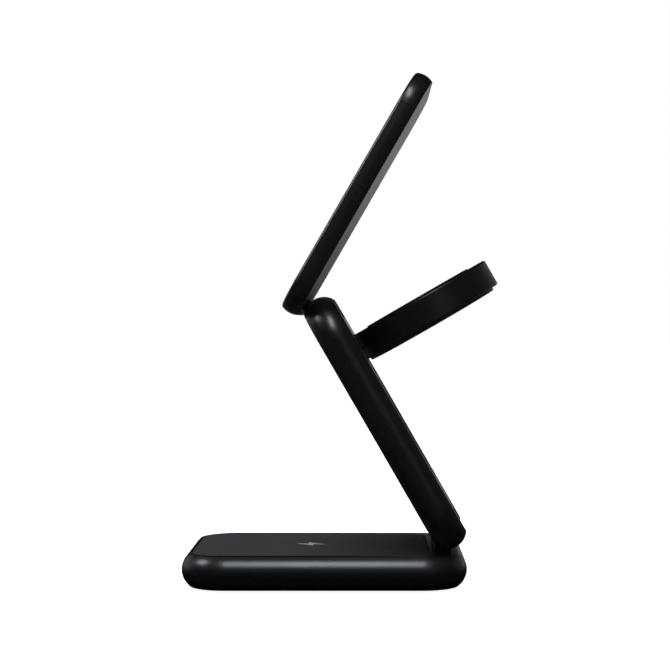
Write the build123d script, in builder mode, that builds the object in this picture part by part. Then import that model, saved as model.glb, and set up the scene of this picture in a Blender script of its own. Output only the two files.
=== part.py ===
from build123d import *
from math import cos, radians, sin, sqrt
import os

# Folding three in one wireless charger, standing open: a base with an earbud pad, an arm that
# leans over it, a phone panel on top of the arm and a round watch puck that folds out of the arm.
# X runs from the front of the base to its hinge end, Y across the width, Z up from the table.

# Shared plan and rim of the base and the arm
seat_side_wall = 5.7
plan_corner = 14.0
rim_flatness = 1.2
edge_break = 0.2

# How far each part stands open from its folded place, in degrees
arm_open_angle = 60.0
panel_open_angle = 120.0
puck_open_angle = 90.0

# Base
base_length = 88.0
base_thickness = 10.2
base_hinge_inset = 5.4
base_wall = 2.0
base_ceiling = 1.2
cavity_corner = 7.9
foot_stand = 0.4
foot_depth = 0.5
foot_margin = 3.0
bottom_plate_thickness = 1.4
bottom_plate_rim = 0.9

# Earbud pad let into the top of the base
pad_depth = 0.8
pad_groove = 0.35
pad_end_rim = 0.7
pad_side_rim = 3.3
pad_hinge_gap = 6.4
pad_corner = 7.5

# Parts inside the base
boss_radius = 2.6
boss_front_inset = 4.9
boss_back_inset = 14.4
boss_side_inset = 4.9
ballast_thickness = 1.8
ballast_gap = 1.9
earbud_coil_radius = 14.0
earbud_coil_eye = 6.0
earbud_ferrite_radius = 15.0
board_thickness = 1.0
board_end_gap = 0.4
base_board_length = 24.0
base_board_width = 34.0
board_post_radius = 1.5
board_post_inset = 2.5

# Power inlet in the hinge end of the base
inlet_width = 9.0
inlet_height = 3.3
inlet_length = 7.0
inlet_wall = 0.35
inlet_floor = 0.7
inlet_recess = 0.6
inlet_gap = 0.25
inlet_tongue_width = 6.7
inlet_tongue_height = 0.7
inlet_tongue_length = 4.6

# Arm
arm_thickness = 10.2
arm_hinge_inset = 4.4
fold_gap = 0.4
cover_thickness = 1.0
cover_rim = 0.6
cover_gap = 0.05
arm_pocket_length = 5.0
arm_pocket_width = 40.0
arm_pocket_depth = 3.0
arm_pocket_wall = 2.0
seat_end_wall = 1.95
seat_ledge = 0.7
arm_board_gap = 0.2
flex_width = 1.6
flex_thickness = 0.3
flex_margin = 1.6
flex_gap = 0.05

# Phone panel
panel_length = 84.0
panel_thickness = 5.9
panel_corner = 11.5
panel_hinge_inset = 5.1
panel_wall = 1.6
panel_front_wall = 0.8
panel_front_round = 1.2
panel_face_thickness = 0.8
panel_face_rim = 3.2
panel_face_gap = 0.1

# Parts inside the phone panel
magnet_ring_outer = 27.0
magnet_ring_inner = 23.2
magnet_count = 16
magnet_gap_angle = 1.5
magnet_thickness = 2.0
phone_coil_radius = 21.5
phone_coil_eye = 9.0
phone_ferrite_radius = 22.5
panel_board_length = 8.0
panel_board_width = 36.0
panel_board_gap = 1.0

# Coils, ferrites and their shields are cut from the same sheet and wound from the same wire
coil_thickness = 1.2
ferrite_thickness = 0.8

# Hinges between base and arm and between arm and panel
knuckle_width = 30.0
knuckle_inset = 0.7
knuckle_side_gap = 0.6
knuckle_end_gap = 0.9
lower_web_inner = 4.4
lower_web_outer = 0.6
upper_web_inner = 1.2
upper_web_outer = 2.2
flange_thickness = 1.2
flange_reach = 8.4
flange_ear = 5.0
flange_screw_offset = 2.6
slot_gap = 0.2
pin_radius = 1.5
pin_seat_length = 7.4
pin_chamfer = 0.25
bush_wall = 1.1
bush_length = 8.0
bush_flange = 0.3
bush_collar = 1.35
seat_gap = 0.02
running_gap = 0.05

# Watch puck and its hinge in the arm
puck_radius = 24.5
puck_edge_round = 0.6
puck_pivot_gap = 1.5
puck_face_inset = 6.1
puck_face_height = 0.35
puck_face_seat = 0.5
puck_face_gap = 0.1
puck_dish_rim = 3.4
puck_dish_depth = 0.35
puck_ceiling = 1.0
puck_lip_inset = 2.1
puck_plug_inset = 1.4
puck_plug_height = 1.0
puck_gap = 0.8
puck_lip_gap = 1.0
puck_flush = 0.1
puck_axis_depth = 2.7
puck_axis_along = 13.65
puck_seat_gap = 0.3
puck_barrel_radius = 2.2
puck_barrel_width = 22.0
puck_barrel_gap = 0.4
puck_barrel_side_gap = 0.5
puck_web_overlap = 0.9
puck_pin_radius = 0.75
puck_pin_seat_length = 3.5
puck_coil_radius = 14.0
puck_coil_eye = 6.0
puck_ferrite_radius = 15.0
puck_magnet_radius = 4.5
puck_board_radius = 12.0

# Small countersunk screws, all of one size
screw_radius = 0.7
screw_head_radius = 1.4
screw_head_height = 0.7
screw_length = 2.6

# Sizes that follow: the round seat sets the width and the arm's length, the arm's thickness the puck's
seat_radius = puck_radius + puck_gap
width = 2 * (seat_radius + seat_side_wall)
rim_radius = max(base_thickness, arm_thickness) / 2 + rim_flatness
knuckle_radius = arm_thickness / 2 - knuckle_inset
notch_depth = knuckle_radius + knuckle_end_gap
notch_width = knuckle_width + 2 * knuckle_side_gap
flange_width = knuckle_width + 2 * flange_ear
flange_screw_side = knuckle_width / 2 + flange_screw_offset
pin_length = notch_width + 2 * pin_seat_length
bush_radius = pin_radius + running_gap + bush_wall
bush_flange_radius = bush_radius + bush_collar
puck_reach = puck_radius + puck_pivot_gap
puck_thickness = arm_thickness - puck_flush - puck_face_height - puck_seat_gap - seat_ledge
puck_face_radius = puck_radius - puck_face_inset
puck_dish_radius = puck_face_radius - puck_dish_rim
puck_lip_radius = puck_radius - puck_lip_inset
puck_lip_height = seat_ledge + puck_seat_gap - puck_flush
puck_plug_radius = puck_lip_radius - puck_plug_inset
pocket_width = puck_barrel_width + 2 * puck_barrel_side_gap
puck_pin_length = pocket_width + 2 * puck_pin_seat_length
seat_far_edge = puck_axis_along + puck_reach + seat_radius
hinge_spacing = seat_far_edge + seat_end_wall + arm_pocket_length + arm_pocket_wall + notch_depth
arm_length = hinge_spacing + 2 * arm_hinge_inset


def direction(angle):
    """Unit direction in the side view, turned up from the hinge end of the base."""
    return Vector(cos(radians(angle)), 0, sin(radians(angle)))


def shifted(plane, along=0.0, across=0.0, out=0.0):
    """The same plane with its origin moved along its own three directions."""
    return Plane(plane.from_local_coords((along, across, out)), x_dir=plane.x_dir, z_dir=plane.z_dir)


def side_section(plane):
    """Plane through the same origin that shows a slab from the side, along by out."""
    return Plane(plane.origin, x_dir=plane.x_dir, z_dir=-plane.y_dir)


def turned_over(plane):
    """The same plane seen from its other face."""
    return Plane(plane.origin, x_dir=plane.x_dir, z_dir=-plane.z_dir)


def rim_bulge(thickness):
    """How far the round rim of a slab stands out past its two flat faces."""
    return rim_radius - sqrt(rim_radius**2 - (thickness / 2) ** 2)


def bulged_slab(plane, length, thickness, corner):
    """Slab centred on a plane, with flat faces, round plan corners and a rim that is one arc."""
    bulge = rim_bulge(thickness)
    face_width = width - 2 * bulge
    near_edge = plane.from_local_coords((0, -face_width / 2, 0))
    with BuildPart() as slab:
        with BuildSketch(plane) as face_outline:
            RectangleRounded(length - 2 * bulge, face_width, corner - bulge)
        extrude(amount=thickness / 2, both=True)
        with BuildSketch(Plane(near_edge, x_dir=-plane.y_dir, z_dir=plane.x_dir)):
            with BuildLine():
                rim = ThreePointArc((0, -thickness / 2), (bulge, 0), (0, thickness / 2))
                Line(rim @ 1, rim @ 0)
            make_face()
        sweep(path=face_outline.sketch.face().outer_wire())
    return slab.part


def face_edges(part, axis, side):
    """Edges around the outermost flat face of a part, on the given side along an axis."""
    return part.faces().filter_by(GeomType.PLANE).sort_by(axis)[side].outer_wire().edges()


def chord_reach(radius, chord):
    """Distance from the puck's hinge axis to the edge of its disc or seat, at the ends of a chord."""
    return puck_reach - sqrt(radius**2 - (chord / 2) ** 2)


def ring(plane, outer_radius, inner_radius, thickness):
    """Flat ring that stands on a plane."""
    with BuildPart() as flat_ring:
        with BuildSketch(plane):
            Circle(outer_radius)
            Circle(inner_radius, mode=Mode.SUBTRACT)
        extrude(amount=thickness)
    return flat_ring.part


def countersunk_screw(plane):
    """Screw whose head lies flush with a plane and whose shank runs back from it."""
    with BuildPart() as screw:
        with BuildSketch(side_section(plane)):
            with BuildLine():
                Polyline(
                    (0, 0),
                    (screw_head_radius, 0),
                    (screw_radius, -screw_head_height),
                    (screw_radius, -screw_length),
                    (0, -screw_length),
                    close=True,
                )
            make_face()
        revolve(axis=Axis(plane.origin, plane.z_dir))
    return screw.part


def screw_hole(plane):
    """Room that a screw needs in the piece under its head and in the piece that it holds."""
    with BuildPart() as hole:
        with BuildSketch(side_section(plane)):
            with BuildLine():
                Polyline(
                    (0, 0),
                    (screw_head_radius + seat_gap, 0),
                    (screw_radius + seat_gap, -screw_head_height),
                    (screw_radius + seat_gap, -screw_length - seat_gap),
                    (0, -screw_length - seat_gap),
                    close=True,
                )
            make_face()
        revolve(axis=Axis(plane.origin, plane.z_dir))
    return hole.part


def web_outline(inner, outer, level, spread=0.0):
    """Web of a knuckle seen from the side, between the hinge axis and its flange."""
    with Locations(((inner - outer) / 2, -level / 2)):
        Rectangle(inner + outer + 2 * spread, level)


def hinge_knuckle(plane, flange_level, web_inner, web_outer, screw_planes):
    """Barrel on a web that stands on a flange, with its axis across a plane that faces away."""
    with BuildPart() as knuckle:
        section = side_section(plane)
        with BuildSketch(section):
            Circle(knuckle_radius)
            web_outline(web_inner, web_outer, flange_level)
        extrude(amount=knuckle_width / 2, both=True)
        with BuildSketch(section):
            with Locations(((flange_reach - web_outer) / 2, -flange_level - flange_thickness / 2)):
                Rectangle(flange_reach + web_outer, flange_thickness)
        extrude(amount=flange_width / 2, both=True)
        with BuildSketch(section):
            Circle(bush_radius + seat_gap)
        extrude(amount=knuckle_width / 2, both=True, mode=Mode.SUBTRACT)
        for screw_plane in screw_planes:
            add(screw_hole(screw_plane), mode=Mode.SUBTRACT)
    return knuckle.part


def hinge_pin(plane, radius, length):
    """Plain steel pin across the width, with broken ends."""
    with BuildPart() as pin:
        with BuildSketch(side_section(plane)):
            Circle(radius)
        extrude(amount=length / 2, both=True)
        chamfer(pin.edges(), pin_chamfer)
    return pin.part


def hinge_bushes(plane):
    """Pair of flanged bushes, one pushed into each end of a knuckle barrel."""
    with BuildPart() as bushes:
        for side in (-1, 1):
            end = Plane(
                plane.from_local_coords((0, side * knuckle_width / 2, 0)),
                x_dir=plane.x_dir,
                z_dir=plane.y_dir * side,
            )
            with BuildSketch(end):
                Circle(bush_radius)
            extrude(amount=-bush_length)
            with BuildSketch(end):
                Circle(bush_flange_radius)
            extrude(amount=bush_flange)
            with BuildSketch(end.offset(bush_flange)):
                Circle(pin_radius + running_gap)
            extrude(amount=-bush_length - bush_flange, mode=Mode.SUBTRACT)
    return bushes.part


# Levels, hinge axes and planes that every piece is placed by
base_bottom = foot_stand
base_top = base_bottom + base_thickness
base_bulge = rim_bulge(base_thickness)
base_face_length = base_length - 2 * base_bulge
base_face_width = width - 2 * base_bulge
axis_height = arm_thickness / 2 + fold_gap
lower_axis = Vector(base_length / 2 - base_hinge_inset, 0, base_top + axis_height)
arm_angle = 180 - arm_open_angle
upper_axis = lower_axis + direction(arm_angle) * hinge_spacing
panel_angle = arm_angle - 180 + panel_open_angle
puck_angle = arm_angle - 180 + puck_open_angle

base_plane = Plane(lower_axis, x_dir=(-1, 0, 0), z_dir=(0, 0, 1))
arm_plane = Plane(lower_axis, x_dir=direction(arm_angle), z_dir=direction(arm_angle - 90))
panel_plane = Plane(upper_axis, x_dir=direction(panel_angle), z_dir=direction(panel_angle - 90))
upper_arm_plane = shifted(arm_plane, along=hinge_spacing)
arm_middle = shifted(arm_plane, along=hinge_spacing / 2)
arm_back = arm_middle.offset(arm_thickness / 2)
puck_pivot = shifted(upper_arm_plane, along=-puck_axis_along, out=arm_thickness / 2 - puck_axis_depth)
puck_plane = Plane(puck_pivot.origin, x_dir=direction(puck_angle), z_dir=direction(puck_angle + 90))
puck_centre = shifted(puck_plane, along=puck_reach)
puck_seat = shifted(upper_arm_plane, along=-puck_axis_along - puck_reach, out=arm_thickness / 2)

# Base shell: tray open underneath, with the pad's recess on top
ceiling_level = base_top - pad_depth - base_ceiling
pad_front = -base_face_length / 2 + pad_end_rim
pad_back = lower_axis.X - pad_hinge_gap
pad_length = pad_back - pad_front
pad_width = base_face_width - 2 * pad_side_rim
pad_plane = shifted(Plane.XY, along=(pad_front + pad_back) / 2, out=base_top - pad_depth)
cavity_length = base_face_length - 2 * base_wall
cavity_width = base_face_width - 2 * base_wall
plate_top = base_bottom + bottom_plate_thickness
base_middle = base_bottom + base_thickness / 2
boss_front = boss_front_inset - cavity_length / 2
boss_back = cavity_length / 2 - boss_back_inset
boss_side = cavity_width / 2 - boss_side_inset
boss_places = [(x, y) for x in (boss_front, boss_back) for y in (-boss_side, boss_side)]
lower_flange_level = axis_height + base_top - ceiling_level
lower_screw_planes = [
    turned_over(shifted(base_plane, flange_screw_offset, side, -lower_flange_level - flange_thickness))
    for side in (-flange_screw_side, flange_screw_side)
]
plate_screw_planes = [
    turned_over(Plane((x, y, base_bottom + foot_depth))) for x, y in boss_places
]
inlet_mouth = Plane((base_length / 2 - inlet_recess, 0, base_middle), x_dir=(0, 1, 0), z_dir=(1, 0, 0))

base_form = bulged_slab(Plane.XY.offset(base_middle), base_length, base_thickness, plan_corner)
with BuildPart() as base_shell:
    add(base_form)
    fillet(face_edges(base_shell, Axis.Z, -1) + face_edges(base_shell, Axis.Z, 0), edge_break)
    with BuildSketch(pad_plane):
        RectangleRounded(pad_length + 2 * pad_groove, pad_width + 2 * pad_groove, pad_corner + pad_groove)
    extrude(amount=pad_depth, mode=Mode.SUBTRACT)
    with BuildSketch(Plane.XY.offset(base_bottom)):
        RectangleRounded(cavity_length, cavity_width, cavity_corner)
    extrude(amount=ceiling_level - base_bottom, mode=Mode.SUBTRACT)
    with BuildSketch(Plane.XY.offset(base_bottom)):
        RectangleRounded(
            base_face_length - 2 * bottom_plate_rim,
            base_face_width - 2 * bottom_plate_rim,
            plan_corner - base_bulge - bottom_plate_rim,
        )
    extrude(amount=bottom_plate_thickness, mode=Mode.SUBTRACT)
    with BuildSketch(Plane.XY.offset(plate_top)):
        with Locations(*boss_places):
            Circle(boss_radius)
    extrude(amount=ceiling_level - plate_top)
    with BuildSketch(side_section(base_plane)):
        web_outline(lower_web_inner, lower_web_outer, lower_flange_level, slot_gap)
    extrude(amount=knuckle_width / 2 + slot_gap, both=True, mode=Mode.SUBTRACT)
    with BuildSketch(inlet_mouth.offset(inlet_recess)):
        SlotOverall(inlet_width + 2 * inlet_gap, inlet_height + 2 * inlet_gap)
    extrude(amount=-inlet_length - inlet_recess, mode=Mode.SUBTRACT)
    for screw_plane in lower_screw_planes + plate_screw_planes:
        add(screw_hole(screw_plane), mode=Mode.SUBTRACT)

with BuildPart() as earbud_pad:
    with BuildSketch(pad_plane):
        RectangleRounded(pad_length, pad_width, pad_corner)
    extrude(amount=pad_depth)
    fillet(face_edges(earbud_pad, Axis.Z, -1), edge_break)

# Underside: screwed plate with a grippy foot let into it
plate_length = base_face_length - 2 * bottom_plate_rim - 2 * cover_gap
plate_width = base_face_width - 2 * bottom_plate_rim - 2 * cover_gap
plate_corner = plan_corner - base_bulge - bottom_plate_rim - cover_gap
foot_length = plate_length - 2 * foot_margin
foot_width = plate_width - 2 * foot_margin
foot_corner = plate_corner - foot_margin
board_level = base_middle - inlet_height / 2 - board_thickness
board_back = cavity_length / 2 - board_end_gap
board_centre = Plane((board_back - base_board_length / 2, 0, board_level))
ballast_front = boss_front + boss_radius + ballast_gap
ballast_back = board_back - base_board_length - ballast_gap
ballast_width = cavity_width - 2 * ballast_gap
board_post_grid = (base_board_length - 2 * board_post_inset, base_board_width - 2 * board_post_inset)

with BuildPart() as bottom_plate:
    with BuildSketch(Plane.XY.offset(base_bottom)):
        RectangleRounded(plate_length, plate_width, plate_corner)
    extrude(amount=bottom_plate_thickness)
    with BuildSketch(Plane.XY.offset(base_bottom)):
        RectangleRounded(foot_length + 2 * cover_gap, foot_width + 2 * cover_gap, foot_corner + cover_gap)
    extrude(amount=foot_depth, mode=Mode.SUBTRACT)
    with BuildSketch(shifted(board_centre, out=plate_top - board_level)):
        with GridLocations(*board_post_grid, 2, 2):
            Circle(board_post_radius)
    extrude(amount=board_level - plate_top)
    for screw_plane in plate_screw_planes:
        add(screw_hole(screw_plane), mode=Mode.SUBTRACT)

with BuildPart() as foot_pad:
    with BuildSketch(Plane.XY):
        RectangleRounded(foot_length, foot_width, foot_corner)
    extrude(amount=foot_stand + foot_depth)

with BuildPart() as plate_screws:
    for screw_plane in plate_screw_planes:
        add(countersunk_screw(screw_plane))

# Weight, coil and electronics in the base
with BuildPart() as ballast:
    with BuildSketch(Plane(((ballast_front + ballast_back) / 2, 0, plate_top))):
        RectangleRounded(ballast_back - ballast_front, ballast_width, boss_radius)
    extrude(amount=ballast_thickness)

earbud_coil_plane = shifted(pad_plane, out=-base_ceiling - coil_thickness)
with BuildPart() as earbud_coil:
    add(ring(earbud_coil_plane, earbud_coil_radius, earbud_coil_eye, coil_thickness))

with BuildPart() as earbud_ferrite:
    with BuildSketch(earbud_coil_plane):
        Circle(earbud_ferrite_radius)
    extrude(amount=-ferrite_thickness)

with BuildPart() as base_board:
    with BuildSketch(board_centre):
        Rectangle(base_board_length, base_board_width)
    extrude(amount=board_thickness)

with BuildPart() as power_inlet:
    with BuildSketch(inlet_mouth):
        SlotOverall(inlet_width, inlet_height)
    extrude(amount=-inlet_length)
    with BuildSketch(inlet_mouth):
        SlotOverall(inlet_width - 2 * inlet_wall, inlet_height - 2 * inlet_wall)
    extrude(amount=inlet_floor - inlet_length, mode=Mode.SUBTRACT)
    with BuildSketch(inlet_mouth.offset(inlet_floor - inlet_length)):
        Rectangle(inlet_tongue_width, inlet_tongue_height)
    extrude(amount=inlet_tongue_length)

# Hinge between the base and the arm
with BuildPart() as lower_knuckle:
    add(hinge_knuckle(base_plane, lower_flange_level, lower_web_inner, lower_web_outer, lower_screw_planes))

with BuildPart() as lower_bushes:
    add(hinge_bushes(base_plane))

with BuildPart() as lower_pin:
    add(hinge_pin(arm_plane, pin_radius, pin_length))

with BuildPart() as lower_knuckle_screws:
    for screw_plane in lower_screw_planes:
        add(countersunk_screw(screw_plane))

# Arm: frame with a fork at each end and a round seat for the puck
arm_bulge = rim_bulge(arm_thickness)
arm_face_length = arm_length - 2 * arm_bulge
arm_face_width = width - 2 * arm_bulge
arm_cover_length = arm_face_length - 2 * cover_rim
arm_cover_width = arm_face_width - 2 * cover_rim
arm_cover_corner = plan_corner - arm_bulge - cover_rim
puck_depth = puck_flush + puck_face_height + puck_thickness + puck_seat_gap
notch_length = arm_hinge_inset + notch_depth
notch_centres = [(notch_depth - arm_hinge_inset) / 2, hinge_spacing - (notch_depth - arm_hinge_inset) / 2]
pocket_room = puck_barrel_radius + puck_barrel_gap
pocket_depth = puck_axis_depth + pocket_room
pocket_reach = chord_reach(seat_radius, pocket_width) + puck_web_overlap
pocket_mouth = shifted(puck_pivot, along=(pocket_room - pocket_reach) / 2, out=puck_axis_depth)
arm_pocket_start = notch_depth + arm_pocket_wall
arm_floor = arm_thickness / 2 - cover_thickness - arm_pocket_depth
flex_start = arm_pocket_start + arm_pocket_length / 2
flex_side = arm_cover_width / 2 - flex_margin
flex_end = hinge_spacing - notch_depth - arm_pocket_wall
arm_form = bulged_slab(arm_middle, arm_length, arm_thickness, plan_corner)
arm_out = Axis(arm_plane.origin, arm_plane.z_dir)


def flex_outline(spread):
    """Flat ribbon that leaves the arm's board sideways and turns up along the arm."""
    run = flex_end - flex_start
    with Locations((flex_start, (flex_side + arm_pocket_width / 2) / 2)):
        Rectangle(flex_width + 2 * spread, flex_side - arm_pocket_width / 2 + flex_width + 2 * spread)
    with Locations((flex_start + run / 2, flex_side)):
        Rectangle(run + flex_width + 2 * spread, flex_width + 2 * spread)


with BuildPart() as arm_shell:
    add(arm_form)
    fillet(face_edges(arm_shell, arm_out, 0) + face_edges(arm_shell, arm_out, -1), edge_break)
    with BuildSketch(arm_back):
        RectangleRounded(arm_cover_length, arm_cover_width, arm_cover_corner)
    extrude(amount=-cover_thickness, mode=Mode.SUBTRACT)
    with BuildSketch(puck_seat):
        Circle(seat_radius)
    extrude(amount=-puck_depth, mode=Mode.SUBTRACT)
    with BuildSketch(puck_seat):
        Circle(puck_lip_radius + puck_lip_gap)
    extrude(amount=-arm_thickness, mode=Mode.SUBTRACT)
    with BuildSketch(arm_plane):
        with Locations(*[(centre, 0) for centre in notch_centres]):
            Rectangle(notch_length, notch_width)
    extrude(amount=arm_thickness / 2, both=True, mode=Mode.SUBTRACT)
    with BuildSketch(pocket_mouth):
        Rectangle(pocket_room + pocket_reach, pocket_width)
    extrude(amount=-pocket_depth, mode=Mode.SUBTRACT)
    with BuildSketch(shifted(arm_plane, along=arm_pocket_start + arm_pocket_length / 2, out=arm_floor)):
        Rectangle(arm_pocket_length, arm_pocket_width)
    extrude(amount=arm_pocket_depth, mode=Mode.SUBTRACT)
    with BuildSketch(arm_plane.offset(arm_thickness / 2 - cover_thickness)):
        flex_outline(flex_gap)
    extrude(amount=-flex_thickness, mode=Mode.SUBTRACT)
    for hinge in (arm_plane, upper_arm_plane):
        with BuildSketch(side_section(hinge)):
            Circle(pin_radius + seat_gap)
        extrude(amount=pin_length / 2 + seat_gap, both=True, mode=Mode.SUBTRACT)
    with BuildSketch(side_section(puck_pivot)):
        Circle(puck_pin_radius + seat_gap)
    extrude(amount=puck_pin_length / 2 + seat_gap, both=True, mode=Mode.SUBTRACT)

with BuildPart() as arm_cover:
    with BuildSketch(arm_back):
        RectangleRounded(
            arm_cover_length - 2 * cover_gap,
            arm_cover_width - 2 * cover_gap,
            arm_cover_corner - cover_gap,
        )
    extrude(amount=-cover_thickness)
    with BuildSketch(puck_seat):
        Circle(seat_radius)
    extrude(amount=-cover_thickness, mode=Mode.SUBTRACT)
    with BuildSketch(arm_back.offset(-cover_thickness)):
        with Locations(*[(centre - hinge_spacing / 2, 0) for centre in notch_centres]):
            Rectangle(notch_length, notch_width)
    extrude(amount=cover_thickness, mode=Mode.SUBTRACT)
    with BuildSketch(pocket_mouth):
        Rectangle(pocket_room + pocket_reach, pocket_width)
    extrude(amount=-cover_thickness, mode=Mode.SUBTRACT)

with BuildPart() as arm_board:
    with BuildSketch(shifted(arm_plane, along=arm_pocket_start + arm_pocket_length / 2, out=arm_floor)):
        Rectangle(arm_pocket_length - 2 * arm_board_gap, arm_pocket_width - 2 * arm_board_gap)
    extrude(amount=board_thickness)

with BuildPart() as arm_flex:
    with BuildSketch(arm_plane.offset(arm_thickness / 2 - cover_thickness)):
        flex_outline(0)
    extrude(amount=-flex_thickness)

# Watch puck: round housing with its hinge barrel on the rim
puck_face_top = puck_axis_depth - puck_flush
puck_top = puck_face_top - puck_face_height
puck_bottom = puck_top - puck_thickness
puck_web_reach = chord_reach(puck_radius, puck_barrel_width) + puck_web_overlap
puck_ceiling_level = puck_top - puck_face_seat - puck_ceiling
puck_out = Axis(puck_plane.origin, puck_plane.z_dir)
puck_coil_plane = puck_centre.offset(puck_ceiling_level - coil_thickness)

with BuildPart() as puck_shell:
    with BuildSketch(puck_centre.offset(puck_bottom)):
        Circle(puck_radius)
    extrude(amount=puck_thickness)
    fillet(puck_shell.edges().filter_by(GeomType.CIRCLE), puck_edge_round)
    with BuildSketch(side_section(puck_plane)):
        Circle(puck_barrel_radius)
        with Locations((puck_web_reach / 2, (puck_top - puck_barrel_radius) / 2)):
            Rectangle(puck_web_reach, puck_top + puck_barrel_radius)
    extrude(amount=puck_barrel_width / 2, both=True)
    with BuildSketch(puck_centre.offset(puck_bottom)):
        Circle(puck_plug_radius + cover_gap)
    extrude(amount=puck_ceiling_level - puck_bottom, mode=Mode.SUBTRACT)
    with BuildSketch(puck_centre.offset(puck_top)):
        Circle(puck_face_radius + puck_face_gap)
    extrude(amount=-puck_face_seat, mode=Mode.SUBTRACT)
    with BuildSketch(side_section(puck_plane)):
        Circle(puck_pin_radius + running_gap)
    extrude(amount=puck_barrel_width / 2, both=True, mode=Mode.SUBTRACT)

dish_curve = (puck_dish_radius**2 + puck_dish_depth**2) / (2 * puck_dish_depth)
with BuildPart() as puck_face:
    with BuildSketch(puck_centre.offset(puck_top - puck_face_seat)):
        Circle(puck_face_radius)
    extrude(amount=puck_face_seat + puck_face_height)
    fillet(face_edges(puck_face, puck_out, -1), edge_break)
    with BuildSketch(side_section(shifted(puck_centre, out=puck_face_top))):
        with BuildLine():
            dish = RadiusArc((0, -puck_dish_depth), (puck_dish_radius, 0), -dish_curve)
            Polyline(dish @ 1, (0, 0), dish @ 0)
        make_face()
    revolve(axis=Axis(puck_centre.origin, puck_centre.z_dir), mode=Mode.SUBTRACT)

with BuildPart() as puck_lip:
    with BuildSketch(puck_centre.offset(puck_bottom)):
        Circle(puck_lip_radius)
    extrude(amount=-puck_lip_height)
    fillet(face_edges(puck_lip, puck_out, 0), edge_break)
    with BuildSketch(puck_centre.offset(puck_bottom)):
        Circle(puck_plug_radius)
    extrude(amount=puck_plug_height)

with BuildPart() as puck_coil:
    add(ring(puck_coil_plane, puck_coil_radius, puck_coil_eye, coil_thickness))

with BuildPart() as puck_ferrite:
    puck_ferrite_plane = puck_coil_plane.offset(-ferrite_thickness)
    add(ring(puck_ferrite_plane, puck_ferrite_radius, puck_coil_eye, ferrite_thickness))

with BuildPart() as puck_magnet:
    with BuildSketch(puck_coil_plane.offset(coil_thickness)):
        Circle(puck_magnet_radius)
    extrude(amount=-coil_thickness - ferrite_thickness)

with BuildPart() as puck_board:
    with BuildSketch(puck_coil_plane.offset(-ferrite_thickness)):
        Circle(puck_board_radius)
    extrude(amount=-board_thickness)

with BuildPart() as puck_pin:
    add(hinge_pin(puck_pivot, puck_pin_radius, puck_pin_length))

# Phone panel: shallow tray with a soft face in front and a flat cover behind
panel_bulge = rim_bulge(panel_thickness)
panel_face_length = panel_length - 2 * panel_bulge
panel_face_width = width - 2 * panel_bulge
panel_face_corner = panel_corner - panel_bulge
panel_centre = shifted(panel_plane, along=panel_length / 2 - panel_hinge_inset)
panel_back = panel_centre.offset(-axis_height)
panel_front = panel_back.offset(-panel_thickness)
panel_inside = panel_front.offset(panel_face_thickness + panel_front_wall)
panel_depth = panel_thickness - panel_face_thickness - panel_front_wall
panel_out = Axis(panel_plane.origin, panel_plane.z_dir)
upper_flange_level = axis_height + cover_thickness
upper_boss_height = panel_depth - cover_thickness - flange_thickness
upper_screw_planes = [
    shifted(panel_plane, flange_screw_offset, side, -upper_flange_level)
    for side in (-flange_screw_side, flange_screw_side)
]
panel_board_plane = shifted(
    panel_inside, along=magnet_ring_outer + panel_board_gap + panel_board_length / 2
)
panel_middle = panel_back.offset(-panel_thickness / 2)
panel_form = bulged_slab(panel_middle, panel_length, panel_thickness, panel_corner)

with BuildPart() as panel_shell:
    add(panel_form)
    fillet(face_edges(panel_shell, panel_out, 0), panel_front_round)
    fillet(face_edges(panel_shell, panel_out, -1), edge_break)
    with BuildSketch(panel_front):
        RectangleRounded(
            panel_face_length - 2 * panel_face_rim,
            panel_face_width - 2 * panel_face_rim,
            panel_face_corner - panel_face_rim,
        )
    extrude(amount=panel_face_thickness, mode=Mode.SUBTRACT)
    with BuildSketch(panel_back):
        RectangleRounded(
            panel_face_length - 2 * panel_wall,
            panel_face_width - 2 * panel_wall,
            panel_face_corner - panel_wall,
        )
    extrude(amount=-panel_depth, mode=Mode.SUBTRACT)
    with BuildSketch(panel_back):
        RectangleRounded(
            panel_face_length - 2 * cover_rim,
            panel_face_width - 2 * cover_rim,
            panel_face_corner - cover_rim,
        )
    extrude(amount=-cover_thickness, mode=Mode.SUBTRACT)
    for screw_plane in upper_screw_planes:
        with BuildSketch(screw_plane.offset(-flange_thickness)):
            Circle(boss_radius)
        extrude(amount=-upper_boss_height)
        add(screw_hole(screw_plane), mode=Mode.SUBTRACT)

with BuildPart() as panel_face:
    with BuildSketch(panel_front):
        RectangleRounded(
            panel_face_length - 2 * panel_face_rim - 2 * panel_face_gap,
            panel_face_width - 2 * panel_face_rim - 2 * panel_face_gap,
            panel_face_corner - panel_face_rim - panel_face_gap,
        )
    extrude(amount=panel_face_thickness)

with BuildPart() as panel_cover:
    with BuildSketch(panel_back):
        RectangleRounded(
            panel_face_length - 2 * cover_rim - 2 * cover_gap,
            panel_face_width - 2 * cover_rim - 2 * cover_gap,
            panel_face_corner - cover_rim - cover_gap,
        )
    extrude(amount=-cover_thickness)
    with BuildSketch(side_section(panel_plane)):
        web_outline(upper_web_inner, upper_web_outer, upper_flange_level, slot_gap)
    extrude(amount=knuckle_width / 2 + slot_gap, both=True, mode=Mode.SUBTRACT)

# Magnets, coil and electronics in the phone panel
magnet_span = 360 / magnet_count - magnet_gap_angle
with BuildPart() as phone_magnets:
    for index in range(magnet_count):
        start = 360 / magnet_count * index
        with BuildSketch(panel_inside):
            with BuildLine():
                outer = CenterArc((0, 0), magnet_ring_outer, start, magnet_span)
                inner = CenterArc((0, 0), magnet_ring_inner, start, magnet_span)
                Line(outer @ 0, inner @ 0)
                Line(outer @ 1, inner @ 1)
            make_face()
        extrude(amount=magnet_thickness)

with BuildPart() as phone_coil:
    add(ring(panel_inside, phone_coil_radius, phone_coil_eye, coil_thickness))

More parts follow.
